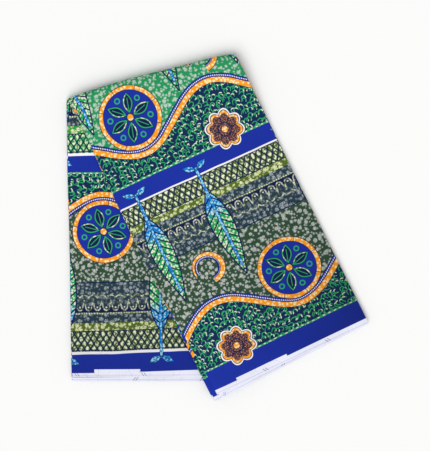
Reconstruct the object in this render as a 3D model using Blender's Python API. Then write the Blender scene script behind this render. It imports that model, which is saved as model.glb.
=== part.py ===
"""A six-yard length of cotton wax print, folded for a shelf, lying on a flat surface.

The cloth is folded zigzag into a strip 17 layers deep. The strip is then folded once across, askew,
so that its two halves fan out as a left and a right leg. The right leg lies on the left one.

Each point of the bundle is named by three cloth sizes:
  e  across the strip, from one long folded edge to the other, 0 in the middle;
  t  along the strip, 0 at the cross fold, negative on the left leg, positive on the right leg;
  h  through the strip, 0 on the face that ends up inside the cross fold.
The function place() turns them into X, Y and Z. Metres, +Z up.
"""

import math

import bpy

# Cloth
STRIP_WIDTH = 0.319  # one zigzag layer, from folded edge to folded edge
LEFT_LEG = 0.571  # from the left leg's selvedge to the cross fold, on the strip's middle line
RIGHT_LEG = 0.608  # from the cross fold to the right leg's selvedge
LEAF = 0.0010  # one leaf of cloth, as a solid wall
CLEARANCE = 0.0003  # between leaves that lie on each other
HIDDEN_PILE = 0.0065  # the hidden layers between the two leaves that show

# Cross fold
FOLD_MIDDLE = (-0.1251, 0.2845)  # the middle of the fold's outer edge, seen from above
FOLD_RISE = math.radians(13.87)  # the fold line climbs to the right
FAN = math.radians(12.7)  # each leg leans this far from square to the fold
LOOP_RADIUS = 0.0030  # inside the turn, which doesn't lie flat
LOOP_LENGTH = 0.085  # the loop has closed this far from the turn
TOP_BOW = 0.0088  # the fold's outer edge bulges this far in its middle
CORNER_LIFT = 0.0065  # and its right end stands out this far
BOW_LENGTH = 0.150

# Right leg, where it hangs off the left one down to the surface
DROOP_START = 0.006  # past the left leg's edge
DROOP_LENGTH = 0.070
DROOP_FADE = (0.020, 0.150)  # from the fold: where the droop begins, and where it is full

# Long edges, which are pressed thinner than the middle
EDGE_BAND = 0.014
EDGE_PRESS = 0.0012
ROLLED_PRESS = 0.0032  # more on the right leg's left edge, near the cross fold
ROLLED_BAND = 0.020
ROLLED_LENGTH = 0.170

# The largest soft troughs in the upper faces. Leg, middle (e, t), heading in degrees from the
# strip's run, length, width and depth
TROUGHS = (
    ("right", -0.128, 0.030, 3.0, 0.120, 0.016, 0.0012),
    ("right", 0.070, 0.120, -38.0, 0.260, 0.036, 0.0008),
    ("right", -0.040, 0.330, 24.0, 0.300, 0.044, 0.0007),
    ("right", 0.090, 0.470, -20.0, 0.240, 0.040, 0.0009),
    ("left", -0.100, -0.300, 12.0, 0.300, 0.036, 0.0007),
    ("left", -0.060, -0.480, -30.0, 0.200, 0.034, 0.0008),
)

# Places where the top leaf's left edge draws back from the pile. Middle t, length and depth
NICKS = (
    (0.036, 0.050, 0.0040),
    (0.268, 0.060, 0.0060),
    (0.400, 0.050, 0.0020),
)

# The hidden folds, from the inner face outwards. Each is two layers joined at a long edge. How far
# it reaches past the nominal edge: left, right, then the left leg's selvedge end at its left and
# right corner, then the right leg's end at its left and right corner, all in metres
HIDDEN_FOLDS = (
    (-0.0004, -0.0006, 0.0080, 0.0150, -0.0030, -0.0060),
    (-0.0024, 0.0004, 0.0050, 0.0080, -0.0010, -0.0030),
    (0.0006, -0.0020, 0.0070, 0.0120, -0.0040, -0.0050),
    (-0.0018, -0.0008, 0.0020, 0.0060, 0.0005, -0.0035),
    (0.0002, -0.0026, 0.0060, 0.0110, -0.0020, -0.0020),
    (-0.0030, -0.0004, 0.0035, 0.0050, 0.0015, -0.0045),
    (-0.0006, -0.0016, 0.0010, 0.0070, 0.0020, -0.0005),
)
GROOVE = 0.0016  # between two hidden folds
BEAD = (0.22, 0.78)  # where a fold's rim is widest, as shares of its thickness
PILE_END_BACK = 0.0050  # the pile's right edge draws back this far at the right leg's selvedge
WANDER = 0.0008  # a fold's edge swings this far either way along the strip
WANDER_TURN = 17.0  # radians a metre
WANDER_SHIFT = 2.1  # radians from one fold to the next

# The right leg's layers are spread a little to the left, more and more away from the fold
SPREAD = 0.0085
SPREAD_LENGTH = 0.380

# The top leaf lies slightly turned on the pile, by the right leg's selvedge
TURNED_LENGTH = 0.150
TURNED_LEFT = 0.0080  # its left edge draws back this far at the corner
TURNED_END = 0.0080  # and so does its selvedge at that corner
TOP_CORNER_CUT = 0.0020  # the roll of the cross fold is this much narrower at its right end
INNER_ENDS = (0.0, 0.0050, -0.0040, -0.0050)  # the inner leaf's ends, as in the table above
LEAF_ROUND = 0.00035  # the rounding of a leaf's rim

LEAF_GREEN = (0.05, 0.30, 0.17)
LEAF_BLUE = (0.02, 0.06, 0.36)
PILE_SLATE = (0.10, 0.16, 0.20)
ROUGHNESS = 0.85

# Mesh
EDGE_COLUMNS = (0.0, 0.007, 0.016, 0.030)  # grid lines near a long edge, from the edge inwards
INNER_COLUMNS = 12  # grid spaces between those of the two edges
TURN_ROWS = 12  # round the cross fold
SLANTED = 0.110  # up to this far from the cross fold the rows run along it
LEFT_NEAR_STEP = 0.022
LEFT_FAR_STEP = 0.060
RIGHT_NEAR_STEP = 0.014
RIGHT_FAR_STEP = 0.027
EDGE_REACH = 0.030  # an offset of an edge fades out this far inside it

STACK = HIDDEN_PILE + 2.0 * (LEAF + CLEARANCE)  # one leg's thickness
HALF_TURN = 0.5 * math.pi * (LOOP_RADIUS + STACK)  # the outer leaf's quarter of the turn
TURN_CENTRE = LOOP_RADIUS + STACK  # from the fold's outer edge
HALF_WIDTH = 0.5 * STRIP_WIDTH
FOLD_LENGTH = STRIP_WIDTH / math.cos(FAN)


def clamp(x):
    return min(max(x, 0.0), 1.0)


def smooth(x):
    """From 0 to 1, level at both ends."""
    x = clamp(x)
    return x * x * (3.0 - 2.0 * x)


def bump(x):
    """1 at 0, falling smoothly to 0 at -1 and 1."""
    return 1.0 - smooth(abs(x))


def trough_depth(e, t):
    """How far the upper face sinks into the soft troughs at this point."""
    depth = 0.0
    for leg, middle_e, middle_t, heading, length, width, deepest in TROUGHS:
        if (leg == "right") != (t > 0.0):
            continue
        along_e = math.sin(math.radians(heading))
        along_t = math.cos(math.radians(heading))
        along = (e - middle_e) * along_e + (t - middle_t) * along_t
        across = (e - middle_e) * along_t - (t - middle_t) * along_e
        depth += deepest * bump(2.0 * along / length) * bump(2.0 * across / width)
    return depth * smooth(abs(t) / 0.06)


def press(e, t):
    """How much thinner the pile is at this point than in the middle of the strip."""
    from_edge = max(HALF_WIDTH - abs(e), 0.0)
    thinner = EDGE_PRESS * (1.0 - smooth(from_edge / EDGE_BAND))
    from_left = max(HALF_WIDTH + e, 0.0)
    along = clamp(1.0 - max(t, 0.0) / ROLLED_LENGTH) * smooth(t / 0.03 + 1.5)
    thinner += ROLLED_PRESS * (1.0 - smooth(from_left / ROLLED_BAND)) * smooth(along * 2.0)
    return thinner + trough_depth(e, t)


def resting_height(p, out, past):
    """The height of the right leg's underside: on the left leg, or past its edges on the surface."""
    half_gap = 0.5 * CLEARANCE
    half_gap += (LOOP_RADIUS - half_gap) * (1.0 - smooth(past / LOOP_LENGTH))
    q = -(out - TURN_CENTRE + HALF_TURN)
    left_e = (p - q * math.tan(FAN)) * math.cos(FAN)
    left_t = (q + left_e * math.sin(FAN)) / math.cos(FAN)
    beside = max(left_e - HALF_WIDTH, 0.0)
    beyond = max(-(LEFT_LEG + left_t), 0.0)
    droop = smooth((math.hypot(beside, beyond) - DROOP_START) / DROOP_LENGTH)
    begins, full = DROOP_FADE
    droop *= smooth((out - begins) / (full - begins))
    return (STACK + 2.0 * half_gap) * (1.0 - droop)


def place(e, t, h):
    """The point of the bundle at e across, t along and h through the strip."""
    q = t * math.cos(FAN) - e * math.sin(FAN)  # square to the fold line
    p = e * math.cos(FAN) + t * math.sin(FAN)  # along the fold line
    past = max(abs(q) - HALF_TURN, 0.0)
    angle = 0.5 * math.pi * max(min(q / HALF_TURN, 1.0), -1.0)
    below = 0.5 - 0.5 * math.sin(angle)  # 1 on the left leg, 0 on the right leg
    through = clamp((h - LEAF - CLEARANCE) / HIDDEN_PILE)
    depth = h + press(e, t) * (below - through)
    if past == 0.0:
        radius = LOOP_RADIUS + depth
        out = TURN_CENTRE - radius * math.cos(angle)
        z = STACK + LOOP_RADIUS + radius * math.sin(angle)
    else:
        out = TURN_CENTRE + past
        z = STACK - depth if q < 0.0 else resting_height(p, out, past) + depth
    along = 2.0 * p / FOLD_LENGTH
    bulge = TOP_BOW * max(1.0 - along**2, 0.0) + CORNER_LIFT * smooth((along - 0.2) / 0.75)
    out -= bulge * (1.0 - smooth(past / BOW_LENGTH))
    x = FOLD_MIDDLE[0] + p * math.cos(FOLD_RISE) + out * math.sin(FOLD_RISE)
    y = FOLD_MIDDLE[1] + p * math.sin(FOLD_RISE) - out * math.cos(FOLD_RISE)
    return x, y, max(z, 0.0)


def spaced(start, stop, step):
    """Evenly spaced values from start, which is left out, to stop, about step apart."""
    count = max(round(abs(stop - start) / step), 1)
    return [start + (stop - start) * (i + 1) / count for i in range(count)]


def row_stations():
    """The strip's cross rows, as t on its middle line, from the left leg's end to the right's."""
    quarter = HALF_TURN / math.cos(FAN)
    turn = [quarter * (2.0 * i / TURN_ROWS - 1.0) for i in range(TURN_ROWS + 1)]
    left = spaced(-quarter, -SLANTED, LEFT_NEAR_STEP)
    left += spaced(-SLANTED, EDGE_REACH - LEFT_LEG, LEFT_FAR_STEP)
    left += [0.5 * EDGE_REACH - LEFT_LEG, -LEFT_LEG]
    right = spaced(quarter, SLANTED, RIGHT_NEAR_STEP)
    right += spaced(SLANTED, RIGHT_LEG - EDGE_REACH, RIGHT_FAR_STEP)
    right += [RIGHT_LEG - 0.5 * EDGE_REACH, RIGHT_LEG]
    return left[::-1] + turn + right


def column_positions():
    """The strip's grid lines, as e, from the left long edge to the right one."""
    left = [distance - HALF_WIDTH for distance in EDGE_COLUMNS]
    right = [-e for e in reversed(left)]
    return left + spaced(left[-1], right[0], (right[0] - left[-1]) / INNER_COLUMNS) + right[1:]


def row_slant(station):
    """1 where a row runs along the fold line, 0 where it is square to the strip."""
    leg = RIGHT_LEG if station > 0.0 else LEFT_LEG
    return 1.0 - smooth((abs(station) - SLANTED) / (leg - SLANTED - EDGE_REACH))


def cloth_point(column_e, station, edges, ends):
    """e and t of one grid point, with the long edges and the ends moved out by their offsets."""
    left, right = edges
    share = column_e / STRIP_WIDTH + 0.5
    e = column_e + right * clamp(1.0 - (HALF_WIDTH - column_e) / EDGE_REACH)
    e -= left * clamp(1.0 - (HALF_WIDTH + column_e) / EDGE_REACH)
    e -= SPREAD * smooth(station / SPREAD_LENGTH) * (1.0 - share)
    t = station + row_slant(station) * e * math.tan(FAN)
    start_left, start_right, stop_left, stop_right = ends
    start = start_left + (start_right - start_left) * share
    stop = stop_left + (stop_right - stop_left) * share
    t -= start * clamp(1.0 - (LEFT_LEG + station) / EDGE_REACH)
    t += stop * clamp(1.0 - (RIGHT_LEG - station) / EDGE_REACH)
    return e, t


def add_slab(name, levels, color):
    """A closed solid from a stack of outlines. A level is (h, edge offsets by station, ends)."""
    stations = row_stations()
    columns = column_positions()
    last_row = len(stations) - 1
    last_column = len(columns) - 1
    ring = [(c, 0) for c in range(last_column)]
    ring += [(last_column, r) for r in range(last_row)]
    ring += [(c, last_row) for c in range(last_column, 0, -1)]
    ring += [(0, r) for r in range(last_row, 0, -1)]

    vertices = []

    def add_point(column, row, level):
        h, edges, ends = level
        e, t = cloth_point(columns[column], stations[row], edges(stations[row]), ends)
        vertices.append(place(e, t, h))
        return len(vertices) - 1

    rings = [[add_point(c, r, level) for c, r in ring] for level in levels]
    faces = []
    for lower, upper in zip(rings, rings[1:]):
        for i in range(len(ring)):
            j = (i + 1) % len(ring)
            faces.append((lower[i], upper[i], upper[j], lower[j]))

    for edge_ring, level, facing in ((rings[0], levels[0], True), (rings[-1], levels[-1], False)):
        index = dict(zip(ring, edge_ring))
        for row in range(1, last_row):
            for column in range(1, last_column):
                index[column, row] = add_point(column, row, level)
        for row in range(last_row):
            for column in range(last_column):
                near = index[column, row]
                far = index[column + 1, row + 1]
                for side in (index[column, row + 1], index[column + 1, row]):
                    clockwise = facing != (side == index[column, row + 1])
                    faces.append((near, side, far) if clockwise else (near, far, side))

    mesh = bpy.data.meshes.new(name)
    mesh.from_pydata(vertices, [], faces)
    mesh.validate()
    mesh.shade_smooth()
    mesh.set_sharp_from_angle(angle=math.radians(40.0))
    solid = bpy.data.objects.new(name, mesh)
    bpy.context.collection.objects.link(solid)
    material = bpy.data.materials.new(name + "_cloth")
    material.use_nodes = True
    shader = material.node_tree.nodes["Principled BSDF"]
    shader.inputs["Base Color"].default_value = (*color, 1.0)
    shader.inputs["Roughness"].default_value = ROUGHNESS
    shader.inputs["Metallic"].default_value = 0.0
    mesh.materials.append(material)


def leaf_levels(inner_h, edges, ends):
    """The four outlines of one leaf, with its rim rounded."""

    def drawn_in(station):
        left, right = edges(station)
        return left - LEAF_ROUND, right - LEAF_ROUND

    short = tuple(end - LEAF_ROUND for end in ends)
    return [
        (inner_h, drawn_in, short),
        (inner_h + LEAF_ROUND, edges, ends),
        (inner_h + LEAF - LEAF_ROUND, edges, ends),
        (inner_h + LEAF, drawn_in, short),
    ]


def outer_leaf_edges(station):
    """The outer leaf's long edges: drawn back in nicks, at its turned corner and in the roll."""
    left = 0.0
    for middle, length, depth in NICKS:
        left -= depth * bump(2.0 * (station - middle) / length)
    left -= TURNED_LEFT * smooth(1.0 - (RIGHT_LEG - station) / TURNED_LENGTH)
    right = -TOP_CORNER_CUT * bump(0.5 * station / HALF_TURN)
    return left, right


def inner_leaf_edges(station):
    """The inner leaf keeps to the strip's nominal edges at every station."""
    return 0.0, 0.0


def hidden_edges(fold, drawn_in):
    """The long edges of one hidden fold, as a function of the station."""
    left, right = HIDDEN_FOLDS[fold][:2]

    def edges(station):
        wander = WANDER * math.sin(WANDER_TURN * station + WANDER_SHIFT * fold)
        back = PILE_END_BACK * smooth(1.0 - (RIGHT_LEG - station) / TURNED_LENGTH)
        return left + wander - drawn_in, right - wander - back - drawn_in

    return edges


def hidden_levels():
    """The outlines of the hidden pile: a rounded bead for each fold, with a groove between two."""
    pitch = HIDDEN_PILE / len(HIDDEN_FOLDS)
    base = LEAF + CLEARANCE
    levels = []
    for fold, row in enumerate(HIDDEN_FOLDS):
        low = base + fold * pitch
        ends = row[2:]
        grooved = tuple(min(end, 0.0) - GROOVE for end in ends)
        levels.append((low, hidden_edges(fold, GROOVE), grooved))
        levels += [(low + share * pitch, hidden_edges(fold, 0.0), ends) for share in BEAD]
    levels.append((base + HIDDEN_PILE, hidden_edges(fold, GROOVE), grooved))
    return levels


def build_bundle():
    for old in list(bpy.data.objects):
        bpy.data.objects.remove(old, do_unlink=True)
    turned = (0.0, 0.0, -TURNED_END, 0.0)
    top = STACK - LEAF
    add_slab("outer_leaf", leaf_levels(top, outer_leaf_edges, turned), LEAF_GREEN)
    add_slab("inner_leaf", leaf_levels(0.0, inner_leaf_edges, INNER_ENDS), LEAF_BLUE)
    add_slab("hidden_folds", hidden_levels(), PILE_SLATE)


build_bundle()
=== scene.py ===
# %% [markdown]
# # A folded length of African print cloth
# Six yards of cotton wax print are folded zigzag into a strip of seventeen layers, and the strip is
# folded once across, askew, so that its two legs fan out on the table. This lesson lays thin cloth over
# the imported solids of that bundle and then prints it. The imported model is loaded first.

# %% Load the bundle's solids
import math

import bpy
import numpy as np
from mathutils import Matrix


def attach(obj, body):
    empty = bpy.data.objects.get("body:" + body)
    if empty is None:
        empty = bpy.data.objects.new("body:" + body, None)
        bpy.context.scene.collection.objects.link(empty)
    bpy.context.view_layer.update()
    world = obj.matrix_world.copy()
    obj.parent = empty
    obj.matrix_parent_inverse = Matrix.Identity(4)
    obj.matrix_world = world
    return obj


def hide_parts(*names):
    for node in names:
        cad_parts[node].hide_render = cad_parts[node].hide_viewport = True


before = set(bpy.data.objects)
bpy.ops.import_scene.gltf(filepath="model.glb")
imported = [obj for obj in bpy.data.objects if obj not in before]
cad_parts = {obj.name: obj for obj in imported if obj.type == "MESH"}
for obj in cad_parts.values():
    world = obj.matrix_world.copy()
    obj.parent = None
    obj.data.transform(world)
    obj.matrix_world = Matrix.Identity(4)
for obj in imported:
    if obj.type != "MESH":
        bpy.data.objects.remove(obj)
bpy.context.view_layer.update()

# %% [markdown]
# The cloth has to lie just where the solids are, and they follow one map from flat cloth to the
# folded bundle. So the same driving sizes are stated again, in metres: the strip and its layers, the
# cross fold, and the way that the upper leg comes down to the table.

# %% The bundle's driving sizes
STRIP_WIDTH = 0.319
LEFT_LEG = 0.571
RIGHT_LEG = 0.608
LEAF = 0.0010
CLEARANCE = 0.0003
HIDDEN_PILE = 0.0065
LAYERS = 17

FOLD_MIDDLE = (-0.1251, 0.2845)
FOLD_RISE = math.radians(13.87)
FAN = math.radians(12.7)
LOOP_RADIUS = 0.0030
LOOP_LENGTH = 0.085
TOP_BOW = 0.0088
CORNER_LIFT = 0.0065
BOW_LENGTH = 0.150

DROOP_START = 0.006
DROOP_LENGTH = 0.070
DROOP_FADE = (0.020, 0.150)

EDGE_BAND = 0.014
EDGE_PRESS = 0.0012
ROLLED_PRESS = 0.0032
ROLLED_BAND = 0.020
ROLLED_LENGTH = 0.170
SPREAD = 0.0085
SPREAD_LENGTH = 0.380
SLANTED = 0.110
EDGE_REACH = 0.030
ROLLED_BLEND = 0.030
TROUGH_FADE = 0.060

STACK = HIDDEN_PILE + 2.0 * (LEAF + CLEARANCE)
HALF_TURN = 0.5 * math.pi * (LOOP_RADIUS + STACK)
TURN_CENTRE = LOOP_RADIUS + STACK
HALF_WIDTH = 0.5 * STRIP_WIDTH
FOLD_LENGTH = STRIP_WIDTH / math.cos(FAN)
CLOTH_WIDTH = LEFT_LEG + RIGHT_LEG
print("cloth width", CLOTH_WIDTH, "and length", round(LAYERS * STRIP_WIDTH, 3))

# %% [markdown]
# Crisp cotton that was folded in a shop shows few creases, and they are soft: shallow troughs and low
# ridges where the pile was pressed or pulled. A simulation could make some, but the real ones come from
# how this bundle was handled, so they are listed one by one. Each row is a heading, then, in
# millimetres, a middle point, a length, a width and a depth; a negative depth is a ridge.

# %% Troughs and ridges
def smooth(x):
    """From 0 to 1, level at both ends."""
    x = np.clip(x, 0.0, 1.0)
    return x * x * (3.0 - 2.0 * x)


def bump(x):
    """1 at 0, falling smoothly to 0 at -1 and 1."""
    return 1.0 - smooth(np.abs(x))


PRESSED_TROUGHS = {
    "right": (
        (3, -128, 30, 120, 16, 1.2),
        (-38, 70, 120, 260, 36, 0.8),
        (24, -40, 330, 300, 44, 0.7),
        (-20, 90, 470, 240, 40, 0.9),
    ),
    "left": (
        (12, -100, -300, 300, 36, 0.7),
        (-30, -60, -480, 200, 34, 0.8),
    ),
}
FINE_CREASES = {
    "right": (
        (8, -136, 52, 90, 9, 0.55),
        (17, -118, 85, 120, 12, -0.35),
        (42, -84, 48, 80, 14, 0.3),
        (80, 30, 30, 160, 16, 0.35),
        (-62, 118, 60, 90, 14, -0.3),
        (-8, 128, 210, 170, 18, 0.35),
        (71, -20, 205, 190, 20, -0.3),
        (24, -122, 262, 110, 12, 0.5),
        (31, -100, 395, 130, 13, 0.45),
        (55, 15, 505, 150, 18, -0.32),
        (-4, 60, 400, 220, 22, 0.3),
        (-64, -60, 560, 110, 14, 0.36),
        (14, 120, 560, 90, 12, -0.3),
    ),
    "left": (
        (26, -130, -120, 100, 12, 0.5),
        (64, -80, -205, 120, 18, -0.3),
        (-9, -125, -390, 160, 16, 0.4),
        (27, 10, -430, 200, 20, 0.35),
        (76, -20, -530, 140, 15, -0.28),
        (-18, 80, -330, 210, 24, 0.34),
        (40, 120, -160, 120, 16, 0.32),
    ),
}


def crease_depth(e, t, creases):
    """How far the cloth sinks into these creases at e across and t along the strip."""
    depth = np.zeros(np.broadcast(e, t).shape)
    for leg, rows in creases.items():
        on_leg = (t > 0.0) == (leg == "right")
        for heading, *millimetres in rows:
            middle_e, middle_t, length, width, deepest = (size / 1000.0 for size in millimetres)
            along_e = math.sin(math.radians(heading))
            along_t = math.cos(math.radians(heading))
            along = (e - middle_e) * along_e + (t - middle_t) * along_t
            across = (e - middle_e) * along_t - (t - middle_t) * along_e
            depth += on_leg * deepest * bump(2.0 * along / length) * bump(2.0 * across / width)
    return depth


def press(e, t):
    """How much thinner the pile is here than in the middle of the strip."""
    thinner = EDGE_PRESS * (1.0 - smooth((HALF_WIDTH - np.abs(e)) / EDGE_BAND))
    along = np.clip(1.0 - np.maximum(t, 0.0) / ROLLED_LENGTH, 0.0, 1.0)
    along = along * smooth(t / ROLLED_BLEND + 1.5)
    thinner += ROLLED_PRESS * (1.0 - smooth((HALF_WIDTH + e) / ROLLED_BAND)) * smooth(along * 2.0)
    return thinner + crease_depth(e, t, PRESSED_TROUGHS) * smooth(np.abs(t) / TROUGH_FADE)


for name, creases in (("pressed troughs", PRESSED_TROUGHS), ("finer creases", FINE_CREASES)):
    print(sum(map(len, creases.values())), name)

# %% [markdown]
# A point of the folded strip is e across it, t along it, negative on the lower, left leg, and h
# through it, from the face inside the cross fold outwards. One function turns these three into a
# place on the table: the left leg lies face up at h = 0, the layers turn round the cross fold, and
# the right leg lies on the left one and droops to the table past its edges.

# %% The map from flat cloth to the bundle
def resting_height(p, out, past):
    """The height of the right leg's underside: on the left leg, or past its edges on the table."""
    half_gap = 0.5 * CLEARANCE
    half_gap = half_gap + (LOOP_RADIUS - half_gap) * (1.0 - smooth(past / LOOP_LENGTH))
    q = -(out - TURN_CENTRE + HALF_TURN)
    left_e = (p - q * math.tan(FAN)) * math.cos(FAN)
    left_t = (q + left_e * math.sin(FAN)) / math.cos(FAN)
    beside = np.maximum(left_e - HALF_WIDTH, 0.0)
    beyond = np.maximum(-(LEFT_LEG + left_t), 0.0)
    droop = smooth((np.hypot(beside, beyond) - DROOP_START) / DROOP_LENGTH)
    droop = droop * smooth((out - DROOP_FADE[0]) / (DROOP_FADE[1] - DROOP_FADE[0]))
    return (STACK + 2.0 * half_gap) * (1.0 - droop)


def place(e, t, h):
    """The point of the bundle at e across, t along and h through the strip."""
    q = t * math.cos(FAN) - e * math.sin(FAN)
    p = e * math.cos(FAN) + t * math.sin(FAN)
    past = np.maximum(np.abs(q) - HALF_TURN, 0.0)
    angle = 0.5 * math.pi * np.clip(q / HALF_TURN, -1.0, 1.0)
    below = 0.5 - 0.5 * np.sin(angle)
    through = np.clip((h - LEAF - CLEARANCE) / HIDDEN_PILE, 0.0, 1.0)
    depth = h + press(e, t) * (below - through)

    radius = LOOP_RADIUS + depth
    turning = past == 0.0
    out = np.where(turning, TURN_CENTRE - radius * np.cos(angle), TURN_CENTRE + past)
    flat = np.where(q < 0.0, STACK - depth, resting_height(p, out, past) + depth)
    z = np.where(turning, STACK + LOOP_RADIUS + radius * np.sin(angle), flat)

    along = 2.0 * p / FOLD_LENGTH
    bulge = TOP_BOW * np.maximum(1.0 - along**2, 0.0) + CORNER_LIFT * smooth((along - 0.2) / 0.75)
    out = out - bulge * (1.0 - smooth(past / BOW_LENGTH))
    x = FOLD_MIDDLE[0] + p * math.cos(FOLD_RISE) + out * math.sin(FOLD_RISE)
    y = FOLD_MIDDLE[1] + p * math.sin(FOLD_RISE) - out * math.cos(FOLD_RISE)
    return np.stack([x, y, np.maximum(z, 0.0)], axis=-1)


corners = place(np.array([-HALF_WIDTH, HALF_WIDTH]), np.array([RIGHT_LEG, RIGHT_LEG]), STACK)
print("the upper leg's selvedge runs from", corners[0].round(3), "to", corners[1].round(3))

# %% [markdown]
# Every layer is a grid of points. Its rows run across the strip and follow one another from selvedge
# to selvedge, closer together round the cross fold. Near the fold they run along the fold line, so
# the turn stays smooth, and towards the ends they swing square to the strip. An edge that reaches
# out or draws back only moves the grid close to it.

# %% Rows of the grid and the points of a layer
TURN_ROWS = 12


def stations(step):
    """The rows' places t on the strip's middle line, from the left leg's end on."""
    quarter = HALF_TURN / math.cos(FAN)
    turn = np.linspace(-quarter, quarter, TURN_ROWS + 1)
    left = np.linspace(-LEFT_LEG, -quarter, round((LEFT_LEG - quarter) / step))[:-1]
    right = np.linspace(quarter, RIGHT_LEG, round((RIGHT_LEG - quarter) / step))[1:]
    return np.concatenate([left, turn, right])


def spread_out(column_e, station, left, right, ends):
    """e and t of the grid, with its long edges and its ends' four corners moved out."""
    share = column_e / STRIP_WIDTH + 0.5
    e = column_e + right * np.clip(1.0 - (HALF_WIDTH - column_e) / EDGE_REACH, 0.0, 1.0)
    e = e - left * np.clip(1.0 - (HALF_WIDTH + column_e) / EDGE_REACH, 0.0, 1.0)
    e = e - SPREAD * smooth(station / SPREAD_LENGTH) * (1.0 - share)
    leg = np.where(station > 0.0, RIGHT_LEG, LEFT_LEG)
    slant = 1.0 - smooth((np.abs(station) - SLANTED) / (leg - SLANTED - EDGE_REACH))
    t = station + slant * e * math.tan(FAN)
    start = ends[0] + (ends[1] - ends[0]) * share
    stop = ends[2] + (ends[3] - ends[2]) * share
    t = t - start * np.clip(1.0 - (LEFT_LEG + station) / EDGE_REACH, 0.0, 1.0)
    t = t + stop * np.clip(1.0 - (RIGHT_LEG - station) / EDGE_REACH, 0.0, 1.0)
    return e, t


print(len(stations(0.004)), "rows for a layer that shows")

# %% [markdown]
# Cloth this thin could be a plain surface with a Solidify modifier, but that pinches where cloth
# doubles back at a folded edge. So each sheet is swept: a path across the strip, which may turn
# under at its ends, is repeated at every row, and both faces are laid half a thickness to each side
# of it. Each point also gets its place on the flat cloth, in metres, as a UV map, because the print
# is printed on flat cloth before it is folded.

# %% A sheet swept along the strip
CLOTH = 0.00030


def grid_faces(rows, columns, first):
    """The faces of a grid of points that are numbered row by row from first."""
    corner = first + np.arange(rows - 1)[:, None] * columns + np.arange(columns - 1)[None, :]
    return np.stack([corner, corner + 1, corner + columns + 1, corner + columns], -1).reshape(-1, 4)


def rim_faces(upper, lower):
    """Faces that join two lines of numbered points."""
    return np.stack([upper[:-1], lower[:-1], lower[1:], upper[1:]], -1)


def sweep_cloth(name, e, t, h, along_cloth):
    """A closed sheet from the grid of its middle points; along_cloth is each column's place on it."""
    rows, columns = e.shape
    step_e = np.gradient(e, axis=1)
    step_h = np.gradient(h, axis=1)
    length = np.hypot(step_e, step_h)
    side_e = -0.5 * CLOTH * step_h / length
    side_h = 0.5 * CLOTH * step_e / length
    upper = place(e + side_e, t, h + side_h).reshape(-1, 3)
    lower = place(e - side_e, t, h - side_h).reshape(-1, 3)

    count = rows * columns
    number = np.arange(count).reshape(rows, columns)
    faces = [grid_faces(rows, columns, 0), grid_faces(rows, columns, count)[:, ::-1]]
    for rim, way in ((number[0], 1), (number[-1], -1), (number[:, 0], -1), (number[:, -1], 1)):
        faces.append(rim_faces(rim, rim + count)[:, ::way])
    faces = np.concatenate(faces)

    mesh = bpy.data.meshes.new(name)
    mesh.from_pydata(np.concatenate([upper, lower]).tolist(), [], faces[:, ::-1].tolist())
    flat_u = np.broadcast_to(along_cloth, e.shape)
    flat_v = CLOTH_WIDTH * (t - t[0]) / (t[-1] - t[0])
    flat = np.stack([flat_u, flat_v], -1).reshape(-1, 2)
    corner_points = np.empty(len(mesh.loops), dtype=np.int32)
    mesh.loops.foreach_get("vertex_index", corner_points)
    layer = mesh.uv_layers.new(name="Cloth")
    layer.data.foreach_set("uv", flat[corner_points % count].astype(np.float32).ravel())
    mesh.shade_smooth()
    mesh.set_sharp_from_angle(angle=math.radians(60.0))
    sheet = bpy.data.objects.new(name, mesh)
    bpy.context.collection.objects.link(sheet)
    print(name, "has", rows, "rows,", columns, "columns and", 2 * len(faces), "triangles")
    return sheet


# %% [markdown]
# The top leaf is the last layer of the zigzag. Its right edge is the cloth's cut end, which just
# lies down on the pile. Its left edge is a fold: the cloth rolls round it into the layer below. In a
# few places that edge draws back from the pile, and at the selvedge the leaf lies a little turned.
# It isn't quite flat between its creases, so a few long, low waves are added.

# %% The outer leaf
LEAF_STEP = 0.0036
ROLL_STEPS = 8
TUCK = 0.003
BEFORE_ROLL = 0.006
NICKS = (
    (0.036, 0.050, 0.0040),
    (0.268, 0.060, 0.0060),
    (0.400, 0.050, 0.0020),
)
TURNED_LENGTH = 0.230
TURNED_LEFT = 0.0100
TURNED_END = 0.0080
TOP_CORNER_CUT = 0.0020
INNER_ENDS = (0.0, 0.0050, -0.0040, -0.0050)
HIDDEN_LAYERS = LAYERS - 2
LAYER_PITCH = HIDDEN_PILE / HIDDEN_LAYERS
FIRST_HIDDEN = LEAF + CLEARANCE + 0.5 * LAYER_PITCH
LAST_HIDDEN = FIRST_HIDDEN + (HIDDEN_LAYERS - 1) * LAYER_PITCH
WAVES = ((0.21, 0.7, 0.3), (0.13, -1.9, 1.7), (0.085, 2.6, 4.1), (0.058, 1.2, 2.2))
WAVE_HEIGHT = 0.00012
PLAIN_TURN = 0.03
PLAIN_FADE = 0.05
MOST_RAISED = -0.0004
MOST_SUNK = 0.0008


def low_waves(e, t):
    """Long, low waves of the cloth, from wavelength, heading and shift."""
    height = np.zeros(np.broadcast(e, t).shape)
    for wavelength, heading, shift in WAVES:
        way = e * math.sin(heading) + t * math.cos(heading)
        height += WAVE_HEIGHT * (1.0 + np.sin(2.0 * math.pi * way / wavelength + shift))
    return height


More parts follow.
